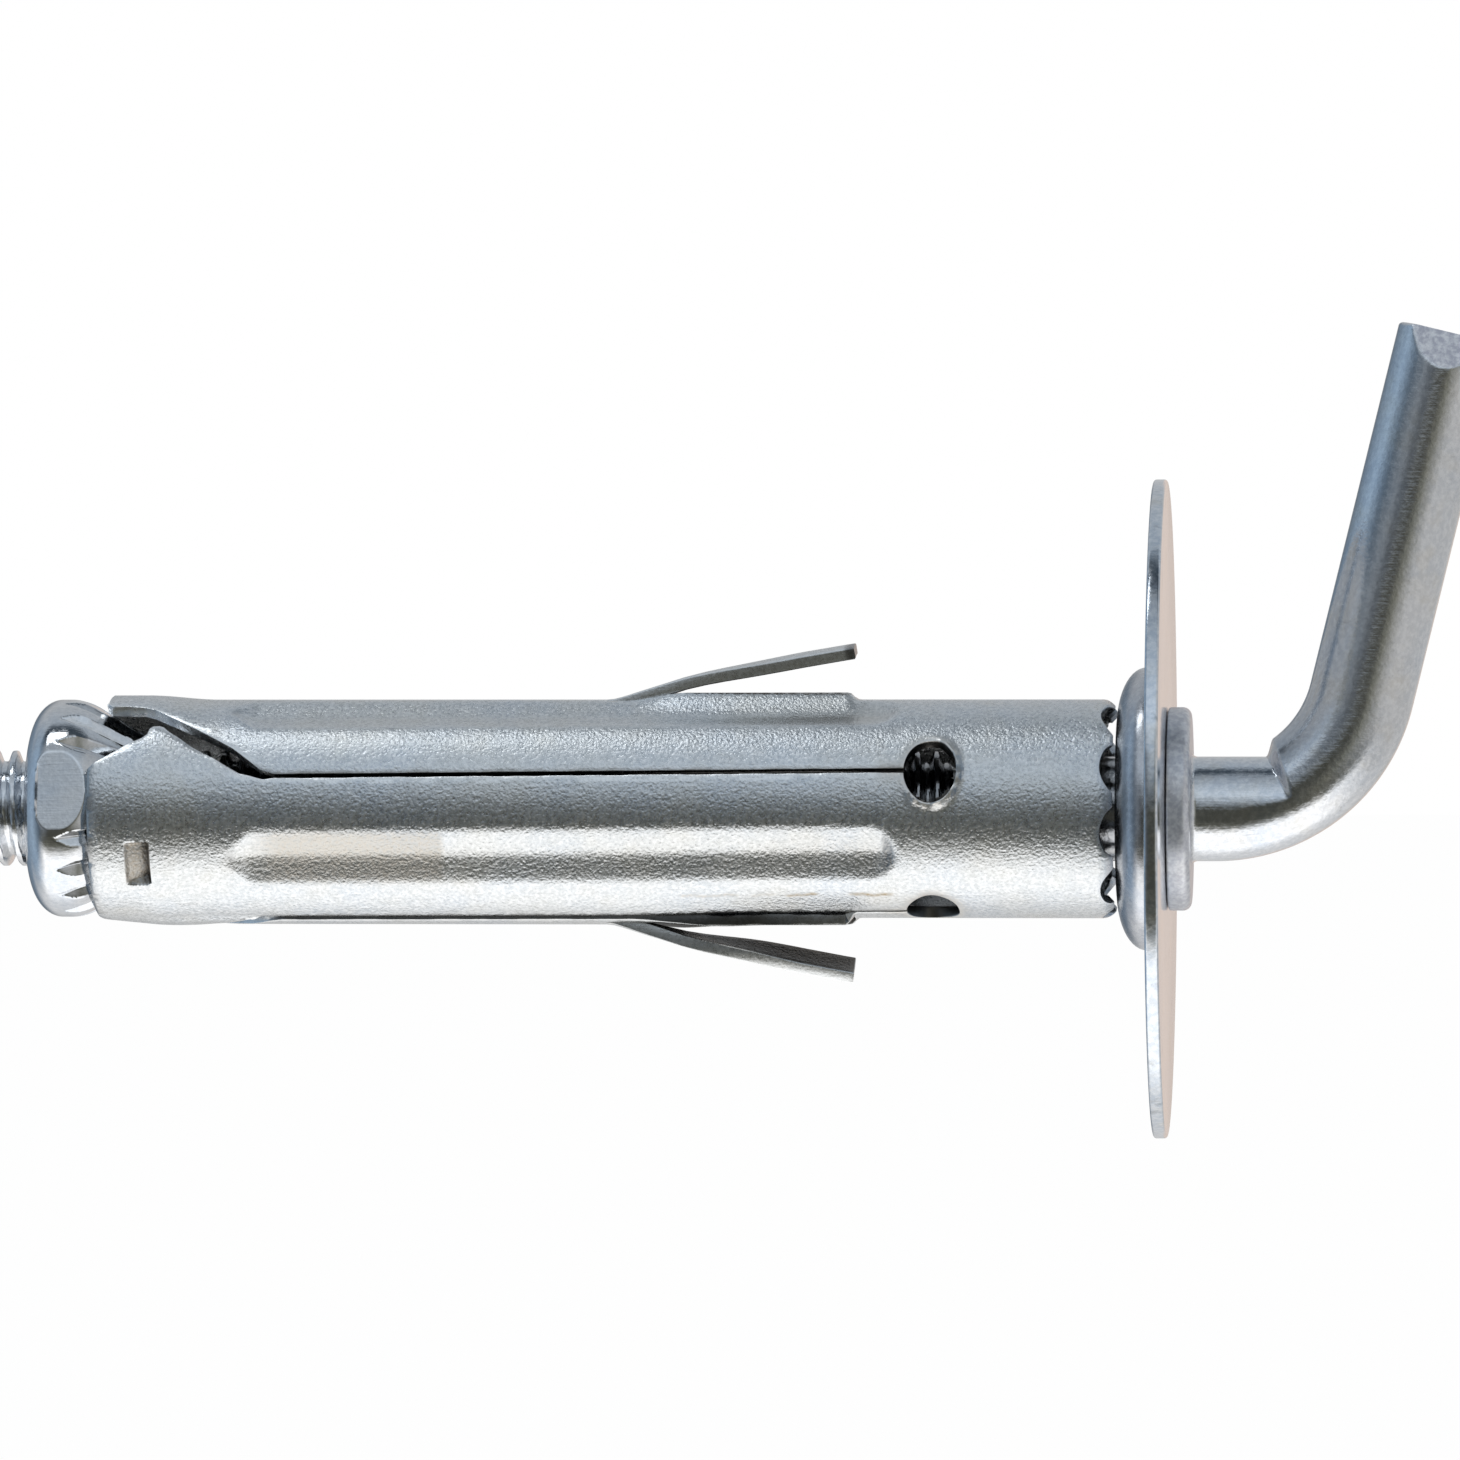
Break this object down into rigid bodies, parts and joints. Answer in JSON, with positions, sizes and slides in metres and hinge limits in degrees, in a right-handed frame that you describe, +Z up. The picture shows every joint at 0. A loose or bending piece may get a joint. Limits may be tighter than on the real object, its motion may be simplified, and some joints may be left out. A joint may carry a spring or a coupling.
{
  "type": "hook expansion anchor",
  "caption": "Wall hook anchor: bent hook bolt with collar and washers draws a fluted cone nut into a slit, grooved sheet-steel sleeve with barbs.",
  "frame": {"origin": "on the bolt's axis, at the large washer's face that meets the wall", "axes": "+X along the bolt's axis out of the wall, from the cone nut to the hook; +Z up along the hook's leg"},
  "size_m": [0.0791, 0.034, 0.0421],
  "materials": {
    "hook_bolt": "bright zinc plate",
    "large_washer": "bright zinc plate",
    "domed_washer": "bright zinc plate",
    "expansion_sleeve": "bright zinc plate",
    "cone_nut": "bright zinc plate"
  },
  "bodies": {
    "sleeve": {"expansion_sleeve": "expansion_sleeve"},
    "hook": {"hook_bolt": "hook_bolt"},
    "cone": {"cone_nut": "cone_nut"},
    "wall_washer": {"large_washer": "large_washer"},
    "cup_washer": {"domed_washer": "domed_washer"}
  },
  "joints": [
    {"name": "hook_turn", "type": "hinge", "parent": "sleeve", "child": "hook", "pos_m": [0, 0, 0], "axis": [1, 0, 0], "range_deg": [0, 1080]},
    {"name": "cone_travel", "type": "slide", "parent": "sleeve", "child": "cone", "axis": [1, 0, 0], "range_m": [-0.0031, 0]},
    {"name": "wall_washer_spin", "type": "hinge", "parent": "hook", "child": "wall_washer", "pos_m": [0, 0, 0], "axis": [1, 0, 0], "continuous": true},
    {"name": "cup_washer_spin", "type": "hinge", "parent": "hook", "child": "cup_washer", "pos_m": [0, 0, 0], "axis": [1, 0, 0], "continuous": true}
  ],
  "couplings": [
    {"joint": "cone_travel", "follows": "hook_turn", "m_per_rad": -0.00015915}
  ]
}
